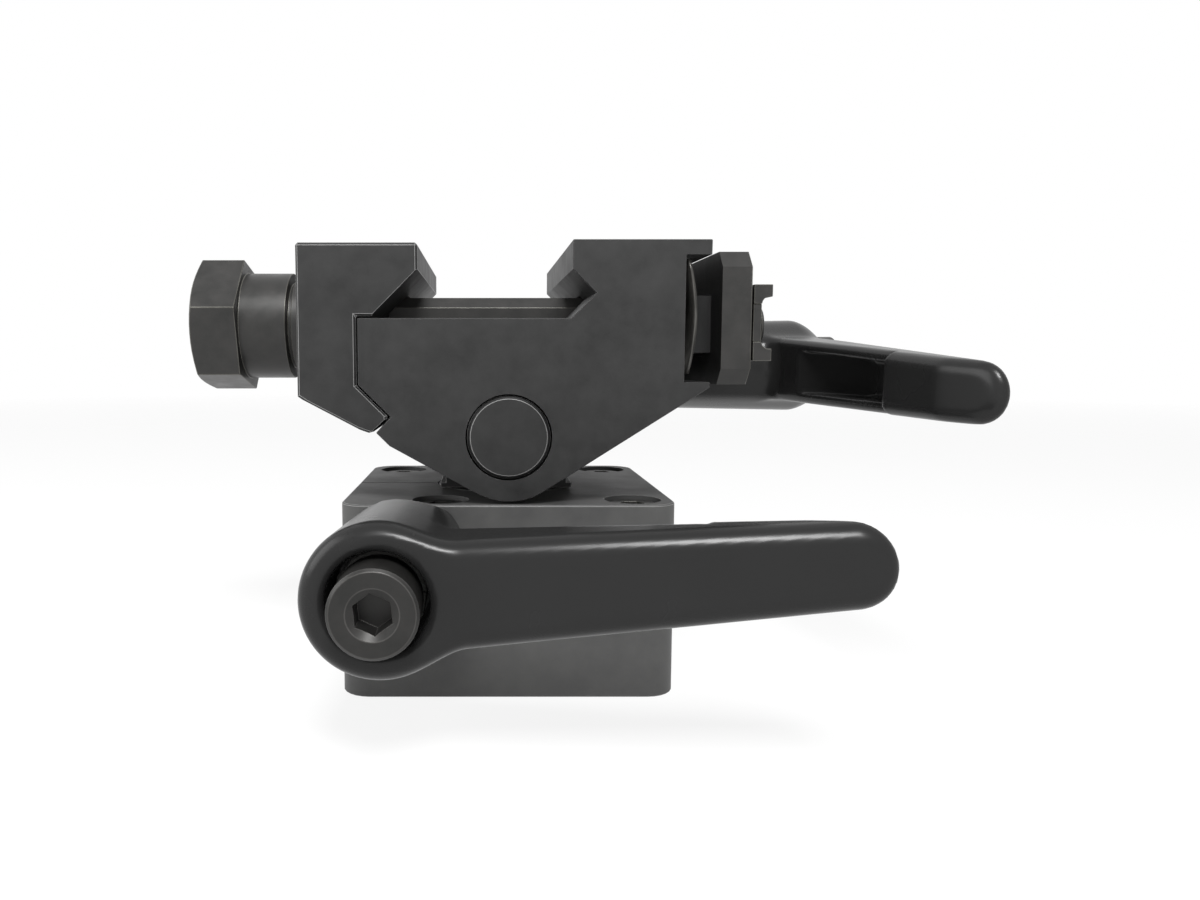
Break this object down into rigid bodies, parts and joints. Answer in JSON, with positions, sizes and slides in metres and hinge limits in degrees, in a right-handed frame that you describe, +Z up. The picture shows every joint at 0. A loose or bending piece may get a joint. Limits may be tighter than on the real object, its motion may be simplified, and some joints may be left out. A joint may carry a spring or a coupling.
{
  "type": "rail clamp tripod head",
  "caption": "Compact tripod head: square base with a panning post, an accessory-rail clamp that tilts on it, a nut-driven jaw and ratchet locking levers.",
  "frame": {"origin": "on the pan axis at the underside of the base, at the mouth of the tripod socket", "axes": "+Z up along the pan axis; +X to the right as seen from the front, along the cross-bolt from the nut to the leaf spring; +Y to the back, along the rail channel and the tilt shaft"},
  "size_m": [0.0818, 0.0649, 0.0479],
  "materials": {
    "black_anodised": "satin",
    "black_cast_zinc": "satin",
    "black_steel": "satin",
    "spring_steel": "satin",
    "nylon": "matte"
  },
  "bodies": {
    "base": {"base_housing": "black_anodised", "base_bottom_plate": "black_anodised", "tripod_thread_bush": "black_steel", "base_screw_1": "black_steel", "base_screw_2": "black_steel", "base_screw_3": "black_steel", "base_screw_4": "black_steel"},
    "pan_lever_stem": {"pan_lever_core": "black_steel", "pan_lever_screw": "black_steel", "pan_lever_spring": "spring_steel"},
    "pan_lever_grip": {"pan_lever_handle": "black_cast_zinc"},
    "post": {"pan_post": "black_anodised", "pan_thrust_ring": "nylon", "pan_washer": "black_steel", "pan_post_screw": "black_steel", "tilt_shaft": "black_steel", "tilt_shaft_pin": "spring_steel"},
    "clamp": {"clamp_body": "black_anodised", "jaw_guide_pin_1": "spring_steel", "jaw_guide_pin_2": "spring_steel", "jaw_spring_1": "spring_steel", "jaw_spring_2": "spring_steel", "leaf_spring": "spring_steel"},
    "jaw": {"moving_jaw": "black_anodised"},
    "nut": {"clamp_nut": "black_steel"},
    "bolt": {"cross_bolt": "black_steel", "pressure_plate": "black_steel", "bolt_keeper": "black_steel"},
    "tilt_lever_stem": {"tilt_lever_core": "black_steel", "tilt_lever_screw": "black_steel", "tilt_lever_spring": "spring_steel"},
    "tilt_lever_grip": {"tilt_lever_handle": "black_cast_zinc"}
  },
  "joints": [
    {"name": "pan", "type": "hinge", "parent": "base", "child": "post", "pos_m": [0, 0, 0.0205], "axis": [0, 0, 1], "continuous": true},
    {"name": "tilt", "type": "hinge", "parent": "post", "child": "clamp", "pos_m": [0, 0, 0.0276], "axis": [0, 1, 0], "range_deg": [-20, 20]},
    {"name": "pan_lever_turn", "type": "hinge", "parent": "base", "child": "pan_lever_stem", "pos_m": [-0.01165, -0.01805, 0.0152], "axis": [0, -1, 0], "range_deg": [-12, 150]},
    {"name": "pan_lever_lift", "type": "slide", "parent": "pan_lever_stem", "child": "pan_lever_grip", "axis": [0, -1, 0], "range_m": [0, 0.003], "stiffness_N_per_m": 1500, "springref_m": -0.002, "deforming": ["pan_lever_spring"]},
    {"name": "tilt_lever_turn", "type": "hinge", "parent": "clamp", "child": "tilt_lever_stem", "pos_m": [0.0221, 0.0135, 0.0348], "axis": [1, 0, 0], "range_deg": [-120, 45]},
    {"name": "tilt_lever_lift", "type": "slide", "parent": "tilt_lever_stem", "child": "tilt_lever_grip", "axis": [1, 0, 0], "range_m": [0, 0.003], "stiffness_N_per_m": 1500, "springref_m": -0.002, "deforming": ["tilt_lever_spring"]},
    {"name": "jaw_slide", "type": "slide", "parent": "clamp", "child": "jaw", "axis": [-1, 0, 0], "range_m": [0, 0.0035], "deforming": ["jaw_spring_1", "jaw_spring_2"]},
    {"name": "nut_turn", "type": "hinge", "parent": "jaw", "child": "nut", "pos_m": [-0.0219, -0.003, 0.0396], "axis": [-1, 0, 0], "range_deg": [0, 1576]},
    {"name": "bolt_slide", "type": "slide", "parent": "clamp", "child": "bolt", "axis": [-1, 0, 0], "range_m": [0, 0.0006], "stiffness_N_per_m": 8000, "deforming": ["leaf_spring"]}
  ],
  "couplings": [
    {"joint": "nut_turn", "follows": "jaw_slide", "rad_per_m": 7854}
  ]
}
